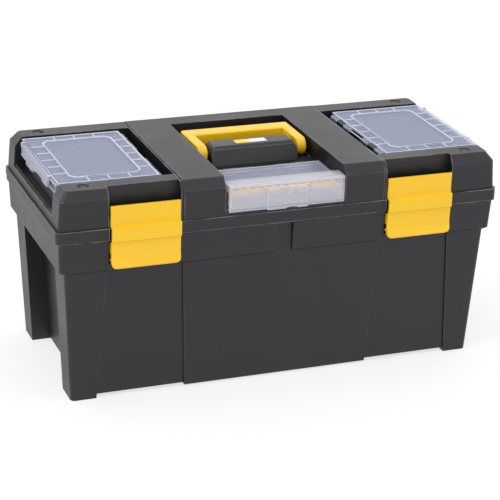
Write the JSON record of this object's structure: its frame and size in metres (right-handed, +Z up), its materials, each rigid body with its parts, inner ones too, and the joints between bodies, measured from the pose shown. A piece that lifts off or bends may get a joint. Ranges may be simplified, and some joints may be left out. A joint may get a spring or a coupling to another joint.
{
  "type": "toolbox",
  "caption": "Plastic toolbox with tapered base on legs, hinged lid with two clear-covered organisers, folding handle, front latches, clear front box and lift-out tray",
  "frame": {"origin": "on the floor under the middle of the box", "axes": "+X along the length to the right end, -Y to the front with the latches, +Z up"},
  "size_m": [0.58, 0.268, 0.277],
  "materials": {
    "black_shell": "fine spark-eroded grain, slightly worn edges",
    "black_trim": "smooth matte moulding",
    "yellow_latch": "satin moulding",
    "yellow_handle": "satin moulding",
    "clear_plastic": "translucent, faintly blue, slightly frosted",
    "grey_tray": "fine grain",
    "pale_label": "blank printed sticker",
    "steel_pin": "drawn wire"
  },
  "bodies": {
    "base": {"base_shell": "black_shell", "lid_hinge_pins": "steel_pin"},
    "tray": {"tray": "grey_tray", "tray_grip": "grey_tray"},
    "lid": {"lid_shell": "black_shell", "handle_hub": "black_trim", "handle_pivot_rod": "steel_pin", "handle_label": "pale_label", "latch_pin_left": "black_trim", "latch_pin_right": "black_trim", "front_box": "clear_plastic", "front_box_bit_rack": "yellow_handle", "front_box_hinge_pin": "steel_pin"},
    "handle": {"handle_bail": "yellow_handle"},
    "front_cover": {"front_box_cover": "clear_plastic"},
    "latch_left": {"latch_left": "yellow_latch"},
    "organiser_left": {"organiser_bin_left": "black_trim", "organiser_dividers_left": "black_trim", "organiser_hinge_pin_left": "steel_pin"},
    "cover_left": {"organiser_cover_left": "clear_plastic"},
    "clasp_left": {"organiser_clasp_left": "clear_plastic"},
    "latch_right": {"latch_right": "yellow_latch"},
    "organiser_right": {"organiser_bin_right": "black_trim", "organiser_dividers_right": "black_trim", "organiser_hinge_pin_right": "steel_pin"},
    "cover_right": {"organiser_cover_right": "clear_plastic"},
    "clasp_right": {"organiser_clasp_right": "clear_plastic"}
  },
  "joints": [
    {"name": "lid_hinge", "type": "hinge", "parent": "base", "child": "lid", "pos_m": [0, 0.1302, 0.221], "axis": [-1, 0, 0], "range_deg": [0, 100]},
    {"name": "tray_lift", "type": "slide", "parent": "base", "child": "tray", "axis": [0, 0, 1], "range_m": [0, 0.018]},
    {"name": "handle_fold", "type": "hinge", "parent": "lid", "child": "handle", "pos_m": [0, 0.0015, 0.2645], "axis": [1, 0, 0], "range_deg": [0, 90]},
    {"name": "front_cover_hinge", "type": "hinge", "parent": "lid", "child": "front_cover", "pos_m": [0, -0.0498, 0.2582], "axis": [-1, 0, 0], "range_deg": [0, 100]},
    {"name": "latch_left_swing", "type": "hinge", "parent": "lid", "child": "latch_left", "pos_m": [-0.18, -0.1218, 0.2505], "axis": [-1, 0, 0], "range_deg": [0, 110]},
    {"name": "organiser_left_lift", "type": "slide", "parent": "lid", "child": "organiser_left", "axis": [0, 0, 1], "range_m": [0, 0.06]},
    {"name": "cover_left_hinge", "type": "hinge", "parent": "organiser_left", "child": "cover_left", "pos_m": [-0.1473, 0, 0.2705], "axis": [0, 1, 0], "range_deg": [0, 105]},
    {"name": "clasp_left_swing", "type": "hinge", "parent": "cover_left", "child": "clasp_left", "pos_m": [-0.2792, 0, 0.273], "axis": [0, 1, 0], "range_deg": [0, 50]},
    {"name": "latch_right_swing", "type": "hinge", "parent": "lid", "child": "latch_right", "pos_m": [0.18, -0.1218, 0.2505], "axis": [-1, 0, 0], "range_deg": [0, 110]},
    {"name": "organiser_right_lift", "type": "slide", "parent": "lid", "child": "organiser_right", "axis": [0, 0, 1], "range_m": [0, 0.06]},
    {"name": "cover_right_hinge", "type": "hinge", "parent": "organiser_right", "child": "cover_right", "pos_m": [0.1473, 0, 0.2705], "axis": [0, -1, 0], "range_deg": [0, 105]},
    {"name": "clasp_right_swing", "type": "hinge", "parent": "cover_right", "child": "clasp_right", "pos_m": [0.2792, 0, 0.273], "axis": [0, -1, 0], "range_deg": [0, 50]}
  ]
}
